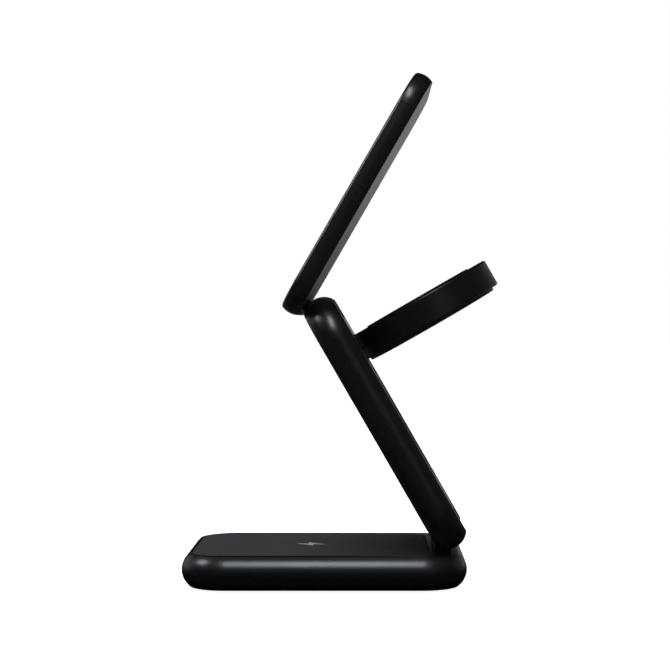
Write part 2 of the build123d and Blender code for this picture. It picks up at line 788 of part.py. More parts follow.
with BuildPart() as phone_ferrite:
    with BuildSketch(panel_inside.offset(coil_thickness)):
        Circle(phone_ferrite_radius)
    extrude(amount=ferrite_thickness)

with BuildPart() as panel_board:
    with BuildSketch(panel_board_plane):
        Rectangle(panel_board_length, panel_board_width)
    extrude(amount=board_thickness)

# Hinge between the arm and the panel
with BuildPart() as upper_knuckle:
    add(hinge_knuckle(panel_plane, upper_flange_level, upper_web_inner, upper_web_outer, upper_screw_planes))

with BuildPart() as upper_bushes:
    add(hinge_bushes(panel_plane))

with BuildPart() as upper_pin:
    add(hinge_pin(upper_arm_plane, pin_radius, pin_length))

with BuildPart() as upper_knuckle_screws:
    for screw_plane in upper_screw_planes:
        add(countersunk_screw(screw_plane))

pieces = {
    "base_shell": base_shell,
    "earbud_pad": earbud_pad,
    "bottom_plate": bottom_plate,
    "foot_pad": foot_pad,
    "plate_screws": plate_screws,
    "ballast_plate": ballast,
    "earbud_coil": earbud_coil,
    "earbud_ferrite": earbud_ferrite,
    "base_board": base_board,
    "power_inlet": power_inlet,
    "lower_hinge_knuckle": lower_knuckle,
    "lower_hinge_bushes": lower_bushes,
    "lower_hinge_pin": lower_pin,
    "lower_hinge_screws": lower_knuckle_screws,
    "arm_shell": arm_shell,
    "arm_back_cover": arm_cover,
    "arm_board": arm_board,
    "arm_flex": arm_flex,
    "puck_shell": puck_shell,
    "puck_face": puck_face,
    "puck_lip_cover": puck_lip,
    "puck_coil": puck_coil,
    "puck_ferrite": puck_ferrite,
    "puck_magnet": puck_magnet,
    "puck_board": puck_board,
    "puck_hinge_pin": puck_pin,
    "panel_shell": panel_shell,
    "panel_face": panel_face,
    "panel_back_cover": panel_cover,
    "phone_magnets": phone_magnets,
    "phone_coil": phone_coil,
    "phone_ferrite": phone_ferrite,
    "panel_board": panel_board,
    "upper_hinge_knuckle": upper_knuckle,
    "upper_hinge_bushes": upper_bushes,
    "upper_hinge_pin": upper_pin,
    "upper_hinge_screws": upper_knuckle_screws,
}

os.makedirs("parts", exist_ok=True)
for name, piece in pieces.items():
    piece.part.label = name
    export_step(piece.part, f"parts/{name}.step")
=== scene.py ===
"""Looks of the folding three in one wireless charger, laid out as an add-on and run as a script."""

import math

import bpy
import numpy as np
from mathutils import Matrix, Vector


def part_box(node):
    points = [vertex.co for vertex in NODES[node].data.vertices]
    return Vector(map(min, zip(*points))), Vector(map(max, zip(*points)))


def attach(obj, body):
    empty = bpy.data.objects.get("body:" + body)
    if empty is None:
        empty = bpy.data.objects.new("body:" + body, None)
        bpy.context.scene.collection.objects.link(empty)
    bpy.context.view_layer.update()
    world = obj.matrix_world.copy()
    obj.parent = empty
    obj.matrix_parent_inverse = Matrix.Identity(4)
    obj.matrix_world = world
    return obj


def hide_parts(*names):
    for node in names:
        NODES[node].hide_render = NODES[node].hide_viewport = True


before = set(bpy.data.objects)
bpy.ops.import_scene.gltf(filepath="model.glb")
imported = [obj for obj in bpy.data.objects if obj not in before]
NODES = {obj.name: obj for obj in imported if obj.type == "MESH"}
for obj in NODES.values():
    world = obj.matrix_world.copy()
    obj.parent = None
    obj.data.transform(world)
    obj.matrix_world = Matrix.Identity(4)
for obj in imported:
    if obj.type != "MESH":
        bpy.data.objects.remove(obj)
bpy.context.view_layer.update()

bl_info = {
    "name": "Folding Charger Looks",
    "version": (1, 0, 0),
    "blender": (4, 5, 0),
    "location": "View3D > Sidebar > Charger",
    "description": "Finishes, small fittings and studio for a folding three in one wireless charger",
    "category": "Object",
}

MM = 0.001

# Pieces that share a finish
SHELLS = ("base_shell", "arm_shell", "panel_shell", "bottom_plate")
PINS = ("lower_hinge_pin", "upper_hinge_pin", "puck_hinge_pin")
SCREWS = ("plate_screws", "lower_hinge_screws", "upper_hinge_screws")
COILS = {"earbud_coil": "base", "puck_coil": "puck", "phone_coil": "panel"}
FERRITES = ("earbud_ferrite", "puck_ferrite", "phone_ferrite")
BOARDS = ("base_board", "arm_board", "panel_board", "puck_board")

# Counts, and sizes in millimetres, of the small fittings
COIL_LAYERS = 2
COIL_STEPS = 40
WIRE_SIDES = 8
CONTACT_COUNT = 12
CONTACT_PITCH = 0.5
CONTACT_SIZE = (3.0, 0.26, 0.06)
TONGUE_WIDTH = 6.7
TONGUE_HEIGHT = 0.7
TONGUE_ROOT = 0.7
TONGUE_LENGTH = 4.6
MARK_RISE = 0.02

# A charging bolt, drawn upright in millimetres
BOLT = ((1.4, 5.0), (-3.8, -0.8), (-0.6, -0.8), (-1.4, -5.0), (3.8, 0.8), (0.6, 0.8))

# Brightness of the surround and the floor, where 1 is white
ROOM_FILL = 0.12
BACKDROP_GLOSS = 0.46
FLOOR_ALBEDO = 0.9
# Brightness of the floor as mirrored close to the charger, kept low there as a painted shade
FLOOR_GLOSS_IN_PAINTED_SHADE = 0.09
FLOOR_GLOSS_FAR = 0.45
FLOOR_GLOW = 0.92
FLOOR_GLOW_FAR = 1.0
LAMP_COLOUR = (0.94, 0.99, 1.07)
ROOM_COLOUR = (0.92, 1.0, 1.0, 1.0)
DUST_COLOUR = (0.3, 0.29, 0.27)
REST_POLISH = 0.06

# Soft lamps that face the charger: bearing from the front round to the right and height, in degrees,
# distance and size in metres, radiance, and what the lamp does, which is to make highlights (glint)
# or to light matt surfaces (matt)
LAMP_TARGET = Vector((0.0, -0.02, 0.03))
LAMPS = (
    ("top_softbox", -90.0, 73.0, 0.9, (0.5, 0.5), 8.8, "matt"),
    ("front_softbox", 0.0, 52.0, 0.9, (0.18, 0.40), 18.6, "glint"),
    ("left_softbox", -84.0, 41.0, 0.9, (0.28, 0.28), 11.5, "glint"),
    ("left_panel", -122.0, 12.0, 1.0, (0.9, 0.5), 0.45, "glint"),
    ("right_panel", 122.0, 12.0, 1.0, (0.7, 0.5), 0.18, "glint"),
    ("right_fill", 28.0, 15.0, 1.0, (0.5, 0.3), 0.31, "glint"),
    ("rear_softbox", 165.0, 30.0, 1.0, (0.5, 0.3), 4.0, "matt"),
    ("right_softbox", 108.0, 18.0, 1.0, (0.6, 0.5), 3.5, "matt"),
)


def colour_property(name, description, default):
    """Property that holds the colour of a finish."""
    return bpy.props.FloatVectorProperty(
        name=name, description=description, subtype="COLOR", size=3, min=0.0, max=1.0, default=default,
    )


def share_property(name, description, default):
    """Property that holds a share between nothing and all."""
    return bpy.props.FloatProperty(
        name=name, description=description, subtype="FACTOR", min=0.0, max=1.0, default=default,
    )


class ChargerFinish(bpy.types.PropertyGroup):
    """Colours and gloss of the charger's surfaces."""

    shell_colour: colour_property("Shell", "Satin black of the moulded shells", (0.0042, 0.0050, 0.0052))
    shell_roughness: share_property("Shell Roughness", "How satin the shells are", 0.33)
    puck_colour: colour_property("Puck", "Black of the watch puck's housing", (0.0042, 0.0046, 0.0048))
    hinge_colour: colour_property("Hinge", "Black paint of the hinge knuckles", (0.0036, 0.0038, 0.0040))
    pad_colour: colour_property("Pad", "Dark grey of the soft pads", (0.0385, 0.0395, 0.040))
    foot_colour: colour_property("Foot", "Black rubber of the foot", (0.012, 0.012, 0.012))
    cover_colour: colour_property("Covers", "Grey of the flat back covers", (0.090, 0.091, 0.092))
    mark_colour: colour_property("Mark", "Pale grey of the printed charging mark", (0.36, 0.36, 0.36))
    dust: share_property("Dust", "How much dust lies on what faces up", 0.05)


class ChargerStudio(bpy.types.PropertyGroup):
    """Camera around the charger."""

    camera_place: bpy.props.FloatVectorProperty(
        name="Camera", description="Place of the camera", subtype="TRANSLATION", unit="LENGTH", size=3,
        default=(13.5 * MM, -525.0 * MM, 82.8 * MM),
    )
    camera_lens: bpy.props.FloatProperty(
        name="Lens", description="Focal length in millimetres", min=1.0, default=88.4,
    )
    camera_shift: bpy.props.FloatVectorProperty(
        name="Shift", description="Share of the image that the view is shifted by", size=2,
        default=(-0.0493, -0.0179),
    )
    mark_place: bpy.props.FloatVectorProperty(
        name="Mark", description="Place of the charging mark on the base pad", subtype="TRANSLATION",
        unit="LENGTH", size=2, default=(-4.7 * MM, 1.0 * MM),
    )


def material_of(name, specular, metallic=0.0):
    """New material with a Principled shader, and its node tree and shader."""
    material = bpy.data.materials.new(name)
    material.use_nodes = True
    tree = material.node_tree
    shader = tree.nodes["Principled BSDF"]
    shader.inputs["Specular IOR Level"].default_value = specular
    shader.inputs["Metallic"].default_value = metallic
    return material, tree, shader


def node_at(tree, kind, place, **values):
    """New node at a place in the editor, with its inputs set by name."""
    node = tree.nodes.new(kind)
    node.location = place
    for name, value in values.items():
        node.inputs[name.replace("_", " ")].default_value = value
    return node


def add_math(tree, operation, first, second):
    """Math node fed by sockets or plain numbers; gives its result."""
    node = tree.nodes.new("ShaderNodeMath")
    node.operation = operation
    for slot, value in zip(node.inputs, (first, second)):
        if isinstance(value, bpy.types.NodeSocket):
            tree.links.new(value, slot)
        else:
            slot.default_value = value
    return node.outputs[0]


def add_range(tree, value, low, high, at_low, at_high):
    """Smooth step from one number to another as a value goes from low to high."""
    node = tree.nodes.new("ShaderNodeMapRange")
    node.interpolation_type = "SMOOTHSTEP"
    tree.links.new(value, node.inputs["Value"])
    node.inputs["From Min"].default_value = low
    node.inputs["From Max"].default_value = high
    node.inputs["To Min"].default_value = at_low
    node.inputs["To Max"].default_value = at_high
    return node.outputs["Result"]


def add_blend(tree, share, first, second):
    """Colour between two colours, each a socket or three plain numbers."""
    node = tree.nodes.new("ShaderNodeMix")
    node.data_type = "RGBA"
    tree.links.new(share, node.inputs["Factor"])
    for slot, value in (("A", first), ("B", second)):
        if isinstance(value, bpy.types.NodeSocket):
            tree.links.new(value, node.inputs[slot])
        else:
            node.inputs[slot].default_value = (*value, 1.0)
    return node.outputs["Result"]


def add_bump(tree, shader, height, depth):
    """Lets a height in the range 0 to 1 shape the surface to a depth in metres."""
    bump = node_at(tree, "ShaderNodeBump", (-300, -340), Strength=1.0, Distance=depth)
    tree.links.new(height, bump.inputs["Height"])
    tree.links.new(bump.outputs["Normal"], shader.inputs["Normal"])


def effect_group(name, inputs, outputs):
    """Empty shader group for a shared effect, with its end nodes and the object's own coordinates."""
    group = bpy.data.node_groups.new(name, "ShaderNodeTree")
    for label, kind, default in inputs:
        socket = group.interface.new_socket(label, in_out="INPUT", socket_type=kind)
        socket.default_value = default
    for label in outputs:
        group.interface.new_socket(label, in_out="OUTPUT", socket_type="NodeSocketFloat")
    entry = group.nodes.new("NodeGroupInput")
    leave = group.nodes.new("NodeGroupOutput")
    place = node_at(group, "ShaderNodeTexCoord", (-900, 0))
    return group, entry.outputs, leave.inputs, place.outputs


def moulded_grain():
    """Shared effect: the fine grain and the slow clouding of a moulded surface."""
    group, given, result, place = effect_group(
        "moulded_grain", [("Grain Scale", "NodeSocketFloat", 4000.0)], ["Grain Height", "Clouding"],
    )
    grain = node_at(group, "ShaderNodeTexNoise", (-300, 120), Detail=3.0, Roughness=0.55)
    cloud = node_at(group, "ShaderNodeTexNoise", (-300, -160), Scale=38.0, Detail=5.0, Roughness=0.62)
    group.links.new(place["Object"], grain.inputs["Vector"])
    group.links.new(place["Object"], cloud.inputs["Vector"])
    group.links.new(given["Grain Scale"], grain.inputs["Scale"])
    group.links.new(grain.outputs["Fac"], result["Grain Height"])
    group.links.new(cloud.outputs["Fac"], result["Clouding"])
    return group


def rubbed_edge():
    """Shared effect: edges that hands and pockets have polished."""
    group, given, result, place = effect_group(
        "rubbed_edge", [("Reach", "NodeSocketFloat", 0.4 * MM)], ["Mask"],
    )
    rounded = node_at(group, "ShaderNodeBevel", (-700, 200))
    rounded.samples = 6
    surface = node_at(group, "ShaderNodeNewGeometry", (-700, -100))
    likeness = node_at(group, "ShaderNodeVectorMath", (-500, 100))
    likeness.operation = "DOT_PRODUCT"
    patches = node_at(group, "ShaderNodeTexNoise", (-500, -200), Scale=160.0, Detail=4.0)
    group.links.new(given["Reach"], rounded.inputs["Radius"])
    group.links.new(rounded.outputs["Normal"], likeness.inputs[0])
    group.links.new(surface.outputs["Normal"], likeness.inputs[1])
    group.links.new(place["Object"], patches.inputs["Vector"])
    turned = add_range(group, likeness.outputs["Value"], 0.86, 0.995, 1.0, 0.0)
    worn = add_range(group, patches.outputs["Fac"], 0.38, 0.6, 0.3, 1.0)
    group.links.new(add_math(group, "MULTIPLY", turned, worn), result["Mask"])
    return group


def settled_dust():
    """Shared effect: specks of dust on what faces up."""
    group, given, result, place = effect_group(
        "settled_dust", [("Amount", "NodeSocketFloat", 0.05)], ["Mask"],
    )
    axes = node_at(group, "ShaderNodeSeparateXYZ", (-700, -100))
    specks = node_at(group, "ShaderNodeTexNoise", (-700, 200), Scale=1500.0, Detail=5.0, Roughness=0.7)
    group.links.new(place["Normal"], axes.inputs[0])
    group.links.new(place["Object"], specks.inputs["Vector"])
    facing_up = add_range(group, axes.outputs["Z"], 0.4, 0.95, 0.0, 1.0)
    grains = add_range(group, specks.outputs["Fac"], 0.56, 0.72, 0.0, 1.0)
    lying = add_math(group, "MULTIPLY", facing_up, grains)
    group.links.new(add_math(group, "MULTIPLY", lying, given["Amount"]), result["Mask"])
    return group


def resting_place():
    """Shared effect: the patch that a phone, a watch or an earbud case has rubbed a little smoother."""
    group, given, result, place = effect_group(
        "resting_place",
        [("Centre", "NodeSocketVector", (0.0, 0.0, 0.0)), ("Radius", "NodeSocketFloat", 20.0 * MM)],
        ["Mask"],
    )
    away = node_at(group, "ShaderNodeVectorMath", (-700, 100))
    away.operation = "DISTANCE"
    patches = node_at(group, "ShaderNodeTexNoise", (-700, -200), Scale=70.0, Detail=5.0, Roughness=0.6)
    group.links.new(place["Object"], away.inputs[0])
    group.links.new(given["Centre"], away.inputs[1])
    group.links.new(place["Object"], patches.inputs["Vector"])
    nearness = add_math(group, "DIVIDE", away.outputs["Value"], given["Radius"])
    inside = add_range(group, nearness, 0.6, 1.1, 1.0, 0.0)
    uneven = add_range(group, patches.outputs["Fac"], 0.35, 0.65, 0.4, 1.0)
    group.links.new(add_math(group, "MULTIPLY", inside, uneven), result["Mask"])
    return group


def tool_lines():
    """Shared effect: the fine lines that turning, rolling or drawing leaves on metal."""
    group, given, result, place = effect_group(
        "tool_lines",
        [("Stretch", "NodeSocketVector", (1.0, 0.02, 1.0)), ("Scale", "NodeSocketFloat", 6000.0)],
        ["Height", "Stain"],
    )
    drawn = node_at(group, "ShaderNodeVectorMath", (-700, 100))
    drawn.operation = "MULTIPLY"
    lines = node_at(group, "ShaderNodeTexNoise", (-400, 100), Detail=2.0, Roughness=0.5)
    stain = node_at(group, "ShaderNodeTexNoise", (-400, -200), Scale=320.0, Detail=5.0, Roughness=0.6)
    group.links.new(place["Object"], drawn.inputs[0])
    group.links.new(given["Stretch"], drawn.inputs[1])
    group.links.new(drawn.outputs[0], lines.inputs["Vector"])
    group.links.new(given["Scale"], lines.inputs["Scale"])
    group.links.new(place["Object"], stain.inputs["Vector"])
    group.links.new(lines.outputs["Fac"], result["Height"])
    group.links.new(stain.outputs["Fac"], result["Stain"])
    return group


def add_effect(tree, effect, **values):
    """Places a shared effect in a material, builds it on first use and gives its outputs."""
    node = tree.nodes.new("ShaderNodeGroup")
    node.node_tree = bpy.data.node_groups.get(effect.__name__) or effect()
    for name, value in values.items():
        node.inputs[name.replace("_", " ")].default_value = value
    return node.outputs


def shaded(colour, factor):
    """A colour made lighter or darker."""
    return tuple(channel * factor for channel in colour)


def moulded_material(
    name, colour, roughness, specular, grain_scale, grain_depth,
    spread=0.12, gloss_spread=0.03, rub=0.1, dust=0.0, rest=None,
):
    """Moulded plastic or rubber: clouded colour and gloss over a fine grain, rubbed edges, a little dust."""
    material, tree, shader = material_of(name, specular)
    grain = add_effect(tree, moulded_grain, Grain_Scale=grain_scale)
    edge = add_effect(tree, rubbed_edge)["Mask"]
    tone = add_blend(tree, grain["Clouding"], shaded(colour, 1 - spread), shaded(colour, 1 + spread))
    if dust:
        specks = add_effect(tree, settled_dust, Amount=dust)["Mask"]
        tone = add_blend(tree, specks, tone, DUST_COLOUR)
    gloss = add_range(tree, grain["Clouding"], 0.3, 0.7, roughness - gloss_spread, roughness + gloss_spread)
    gloss = add_math(tree, "SUBTRACT", gloss, add_math(tree, "MULTIPLY", edge, rub))
    if rest:
        patch = add_effect(tree, resting_place, Centre=rest[0], Radius=rest[1])["Mask"]
        gloss = add_math(tree, "SUBTRACT", gloss, add_math(tree, "MULTIPLY", patch, REST_POLISH))
    tree.links.new(tone, shader.inputs["Base Color"])
    tree.links.new(gloss, shader.inputs["Roughness"])
    add_bump(tree, shader, grain["Grain Height"], grain_depth)
    return material


def metal_material(name, colour, roughness, stretch, line_depth=1e-6, stain=0.15):
    """Bare or plated metal: fine tool lines, a faint stain and brighter edges."""
    material, tree, shader = material_of(name, 0.5, metallic=1.0)
    marks = add_effect(tree, tool_lines, Stretch=stretch)
    edge = add_effect(tree, rubbed_edge, Reach=0.15 * MM)["Mask"]
    tone = add_blend(tree, marks["Stain"], shaded(colour, 1 - stain), colour)
    tone = add_blend(tree, edge, tone, shaded(colour, 1.1))
    tree.links.new(tone, shader.inputs["Base Color"])
    gloss = add_range(tree, marks["Stain"], 0.3, 0.7, roughness, roughness + 0.1)
    tree.links.new(gloss, shader.inputs["Roughness"])
    add_bump(tree, shader, marks["Height"], line_depth)
    return material


def rubber_material(name, colour, stud_pitch, stud_depth):
    """Foot rubber with a grip of small low studs."""
    material, tree, shader = material_of(name, 0.3)
    place = node_at(tree, "ShaderNodeTexCoord", (-900, 0))
    studs = node_at(tree, "ShaderNodeTexVoronoi", (-700, -200), Scale=1 / stud_pitch, Randomness=0.0)
    grain = add_effect(tree, moulded_grain, Grain_Scale=3000.0)
    tree.links.new(place.outputs["Object"], studs.inputs["Vector"])
    dome = add_range(tree, studs.outputs["Distance"], 0.2, 0.42, 1.0, 0.0)
    tone = add_blend(tree, grain["Clouding"], shaded(colour, 0.8), shaded(colour, 1.3))
    tree.links.new(add_blend(tree, dome, tone, shaded(colour, 1.5)), shader.inputs["Base Color"])
    tree.links.new(add_range(tree, dome, 0.0, 1.0, 0.75, 0.6), shader.inputs["Roughness"])
    fine = add_math(tree, "MULTIPLY", grain["Grain Height"], 0.06)
    add_bump(tree, shader, add_math(tree, "ADD", dome, fine), stud_depth)
    return material


def board_material(name):
    """Circuit board: green lacquer over square tracks, with tinned spots."""
    material, tree, shader = material_of(name, 0.5)
    place = node_at(tree, "ShaderNodeTexCoord", (-900, 0))
    tracks = node_at(tree, "ShaderNodeTexVoronoi", (-700, 200), Scale=420.0)
    tracks.distance = "CHEBYCHEV"
    spots = node_at(tree, "ShaderNodeTexVoronoi", (-700, -200), Scale=380.0, Randomness=0.8)
    for texture in (tracks, spots):
        tree.links.new(place.outputs["Object"], texture.inputs["Vector"])
    steps = add_math(tree, "PINGPONG", tracks.outputs["Distance"], 0.09)
    track = add_range(tree, steps, 0.045, 0.06, 0.0, 1.0)
    spot = add_range(tree, spots.outputs["Distance"], 0.14, 0.17, 1.0, 0.0)
    lacquer = add_blend(tree, track, (0.006, 0.055, 0.022), (0.014, 0.11, 0.04))
    tree.links.new(add_blend(tree, spot, lacquer, (0.72, 0.72, 0.7)), shader.inputs["Base Color"])
    tree.links.new(spot, shader.inputs["Metallic"])
    tree.links.new(add_range(tree, track, 0.0, 1.0, 0.42, 0.3), shader.inputs["Roughness"])
    add_bump(tree, shader, add_math(tree, "MAXIMUM", track, spot), 0.02 * MM)
    return material


def ribbon_material(name, track_pitch):
    """Amber ribbon cable with parallel tracks under its film."""
    material, tree, shader = material_of(name, 0.5)
    place = node_at(tree, "ShaderNodeTexCoord", (-900, 0))
    tracks = node_at(tree, "ShaderNodeTexWave", (-700, 0), Scale=math.tau / (20 * track_pitch))
    tracks.bands_direction = "Y"
    tree.links.new(place.outputs["Object"], tracks.inputs["Vector"])
    track = add_range(tree, tracks.outputs["Fac"], 0.4, 0.6, 0.0, 1.0)
    amber = add_blend(tree, track, (0.30, 0.12, 0.02), (0.46, 0.20, 0.05))
    tree.links.new(amber, shader.inputs["Base Color"])
    tree.links.new(add_range(tree, track, 0.0, 1.0, 0.34, 0.29), shader.inputs["Roughness"])
    add_bump(tree, shader, track, 0.01 * MM)
    return material


def enamel_material(name, colour):
    """Enamelled copper wire, darker here and there where the lacquer is thicker."""
    material, tree, shader = material_of(name, 0.5, metallic=1.0)
    shader.inputs["Coat Roughness"].default_value = 0.12
    grain = add_effect(tree, moulded_grain, Grain_Scale=2500.0)
    tone = add_blend(tree, grain["Clouding"], shaded(colour, 0.72), shaded(colour, 1.15))
    tree.links.new(tone, shader.inputs["Base Color"])
    tree.links.new(add_range(tree, grain["Clouding"], 0.3, 0.7, 0.28, 0.38), shader.inputs["Roughness"])
    tree.links.new(add_range(tree, grain["Grain Height"], 0.3, 0.7, 0.5, 0.9), shader.inputs["Coat Weight"])
    return material


def ink_material(name, colour):
    """Printed ink, a little thin where the soft pad's grain shows through."""
    material, tree, shader = material_of(name, 0.2)
    grain = add_effect(tree, moulded_grain, Grain_Scale=3800.0)
    thin = add_range(tree, grain["Grain Height"], 0.3, 0.5, 0.0, 1.0)
    tree.links.new(add_blend(tree, thin, shaded(colour, 0.7), colour), shader.inputs["Base Color"])
    tree.links.new(add_range(tree, grain["Clouding"], 0.3, 0.7, 0.55, 0.7), shader.inputs["Roughness"])
    add_bump(tree, shader, grain["Grain Height"], 0.004 * MM)
    return material


def dress(material, *names):
    """Gives CAD nodes a material."""
    for name in names:
        mesh = NODES[name].data
        mesh.materials.clear()
        mesh.materials.append(material)


def middle_of(name):
    """Middle of the box around a CAD node."""
    low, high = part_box(name)
    return (Vector(low) + Vector(high)) / 2


def ring_of(name):
    """Centre, axis, inner and outer radius and thickness of a CAD node that is a flat ring."""
    points = np.array([vertex.co for vertex in NODES[name].data.vertices])
    centre = (points.min(axis=0) + points.max(axis=0)) / 2
    reach = points - centre
    axis = np.linalg.eigh(reach.T @ reach)[1][:, 0]
    along = reach @ axis
    radii = np.linalg.norm(reach - np.outer(along, axis), axis=1)
    return Vector(centre), Vector(axis), radii.min(), radii.max(), np.ptp(along)


def geometry_tree(name, *inputs):
    """New Geometry Nodes tree with named inputs, and its two end nodes."""
    tree = bpy.data.node_groups.new(name, "GeometryNodeTree")
    for label, kind in inputs:
        tree.interface.new_socket(label, in_out="INPUT", socket_type=kind)
    tree.interface.new_socket("Mesh", in_out="OUTPUT", socket_type="NodeSocketGeometry")
    return tree, tree.nodes.new("NodeGroupInput").outputs, tree.nodes.new("NodeGroupOutput").inputs


def end_tree(tree, given, result, instances):
    """Ends a tree: plain geometry with the given material."""
    plain = tree.nodes.new("GeometryNodeRealizeInstances")
    painted = tree.nodes.new("GeometryNodeSetMaterial")
    tree.links.new(instances, plain.inputs[0])
    tree.links.new(plain.outputs[0], painted.inputs["Geometry"])
    tree.links.new(given["Material"], painted.inputs["Material"])
    tree.links.new(painted.outputs[0], result["Mesh"])


def grown_piece(name, tree, values):
    """Piece with the plain mesh that a Geometry Nodes tree makes from the given inputs."""
    piece = bpy.data.objects.new(name, bpy.data.meshes.new(name))
    bpy.context.scene.collection.objects.link(piece)
    modifier = piece.modifiers.new(tree.name, "NODES")
    modifier.node_group = tree
    for item in tree.interface.items_tree:
        if item.name in values:
            modifier[item.identifier] = values[item.name]
    made = piece.evaluated_get(bpy.context.evaluated_depsgraph_get())
    mesh = bpy.data.meshes.new_from_object(made)
    piece.modifiers.clear()
    piece.data = mesh
    return piece


def winding_tree():
    """Geometry Nodes tree: a flat spiral of round wire, in layers."""
    tree, given, result = geometry_tree(
        "flat_winding",
        ("Inner Radius", "NodeSocketFloat"),
        ("Outer Radius", "NodeSocketFloat"),
        ("Wire", "NodeSocketFloat"),
        ("Layers", "NodeSocketInt"),
        ("Material", "NodeSocketMaterial"),
    )
    half_wire = add_math(tree, "DIVIDE", given["Wire"], 2.0)
    first = add_math(tree, "ADD", given["Inner Radius"], half_wire)
    last = add_math(tree, "SUBTRACT", given["Outer Radius"], half_wire)
    turns = add_math(tree, "DIVIDE", add_math(tree, "SUBTRACT", last, first), given["Wire"])
    spiral = node_at(tree, "GeometryNodeCurveSpiral", (-300, 200), Resolution=COIL_STEPS, Height=0.0)
    profile = node_at(tree, "GeometryNodeCurvePrimitiveCircle", (-300, -100), Resolution=WIRE_SIDES)
    wire = node_at(tree, "GeometryNodeCurveToMesh", (0, 200), Fill_Caps=True)
    smooth = tree.nodes.new("GeometryNodeSetShadeSmooth")
    step = tree.nodes.new("ShaderNodeCombineXYZ")
    start = tree.nodes.new("ShaderNodeCombineXYZ")
    levels = tree.nodes.new("GeometryNodeMeshLine")
    stack = tree.nodes.new("GeometryNodeInstanceOnPoints")
    drop = add_math(tree, "MULTIPLY", half_wire, add_math(tree, "SUBTRACT", 1.0, given["Layers"]))
    tree.links.new(turns, spiral.inputs["Rotations"])
    tree.links.new(first, spiral.inputs["Start Radius"])
    tree.links.new(last, spiral.inputs["End Radius"])
    tree.links.new(half_wire, profile.inputs["Radius"])
    tree.links.new(spiral.outputs["Curve"], wire.inputs["Curve"])
    tree.links.new(profile.outputs["Curve"], wire.inputs["Profile Curve"])
    tree.links.new(wire.outputs["Mesh"], smooth.inputs[0])
    tree.links.new(given["Wire"], step.inputs["Z"])
    tree.links.new(drop, start.inputs["Z"])
    tree.links.new(given["Layers"], levels.inputs["Count"])
    tree.links.new(start.outputs[0], levels.inputs["Start Location"])
    tree.links.new(step.outputs[0], levels.inputs["Offset"])
    tree.links.new(levels.outputs["Mesh"], stack.inputs["Points"])
    tree.links.new(smooth.outputs[0], stack.inputs["Instance"])
    end_tree(tree, given, result, stack.outputs["Instances"])
    return tree


def contact_tree():
    """Geometry Nodes tree: two facing rows of flat contacts."""
    tree, given, result = geometry_tree(
        "contact_rows",
        ("Count", "NodeSocketInt"),
        ("Pitch", "NodeSocketFloat"),
        ("Rise", "NodeSocketFloat"),
        ("Size", "NodeSocketVector"),
        ("Material", "NodeSocketMaterial"),
    )
    span = add_math(tree, "MULTIPLY", add_math(tree, "SUBTRACT", given["Count"], 1.0), given["Pitch"])
    edge = add_math(tree, "MULTIPLY", span, -0.5)
    step = tree.nodes.new("ShaderNodeCombineXYZ")
    tree.links.new(given["Pitch"], step.inputs["Y"])
    rows = tree.nodes.new("GeometryNodeJoinGeometry")
    for side in (1.0, -1.0):
        start = tree.nodes.new("ShaderNodeCombineXYZ")
        line = tree.nodes.new("GeometryNodeMeshLine")
        tree.links.new(edge, start.inputs["Y"])
        tree.links.new(add_math(tree, "MULTIPLY", given["Rise"], side), start.inputs["Z"])
        tree.links.new(given["Count"], line.inputs["Count"])
        tree.links.new(start.outputs[0], line.inputs["Start Location"])
        tree.links.new(step.outputs[0], line.inputs["Offset"])
        tree.links.new(line.outputs["Mesh"], rows.inputs[0])
    blade = tree.nodes.new("GeometryNodeMeshCube")
    placed = tree.nodes.new("GeometryNodeInstanceOnPoints")
    tree.links.new(given["Size"], blade.inputs["Size"])
    tree.links.new(rows.outputs[0], placed.inputs["Points"])
    tree.links.new(blade.outputs["Mesh"], placed.inputs["Instance"])
    end_tree(tree, given, result, placed.outputs["Instances"])
    return tree


class CHARGER_OT_shells(bpy.types.Operator):
    """Finish the moulded shells"""

    bl_idname = "charger.shells"
    bl_label = "Shells"

    def execute(self, context):
        finish = context.scene.charger_finish
        satin = moulded_material(
            "satin_shell", finish.shell_colour, finish.shell_roughness, specular=0.46, grain_scale=5200.0,
            grain_depth=1.5e-6, spread=0.06, gloss_spread=0.015, rub=0.03, dust=finish.dust * 0.3,
        )
        dress(satin, *SHELLS)
        return {"FINISHED"}


class CHARGER_OT_puck(bpy.types.Operator):
    """Finish the watch puck"""

    bl_idname = "charger.puck"
    bl_label = "Watch Puck"

    def execute(self, context):
        finish = context.scene.charger_finish
        housing = moulded_material(
            "puck_housing", finish.puck_colour, roughness=0.36, specular=0.4, grain_scale=5200.0,
            grain_depth=1.5e-6, gloss_spread=0.02, rub=0.05,
        )
        dress(housing, "puck_shell", "puck_lip_cover")
        rest = (middle_of("puck_face"), 15.0 * MM)
        face = moulded_material(
            "puck_rest", finish.puck_colour, roughness=0.37, specular=0.45, grain_scale=6400.0,
            grain_depth=1e-6, gloss_spread=0.02, rub=0.0, rest=rest,
        )
        dress(face, "puck_face")
        return {"FINISHED"}


class CHARGER_OT_soft_faces(bpy.types.Operator):
    """Finish the soft pads and the foot"""

    bl_idname = "charger.soft_faces"
    bl_label = "Pads and Foot"

    def execute(self, context):
        finish = context.scene.charger_finish
        for name, radius in (("earbud_pad", 22.0 * MM), ("panel_face", 30.0 * MM)):
            rest = (middle_of(name), radius)
            pad = moulded_material(
                name + "_grey", finish.pad_colour, roughness=0.72, specular=0.15, grain_scale=3800.0,
                grain_depth=4e-6, spread=0.05, dust=finish.dust, rest=rest,
            )
            dress(pad, name)
        grip = rubber_material("foot_grip", finish.foot_colour, stud_pitch=2.2 * MM, stud_depth=0.12 * MM)
        dress(grip, "foot_pad")
        return {"FINISHED"}


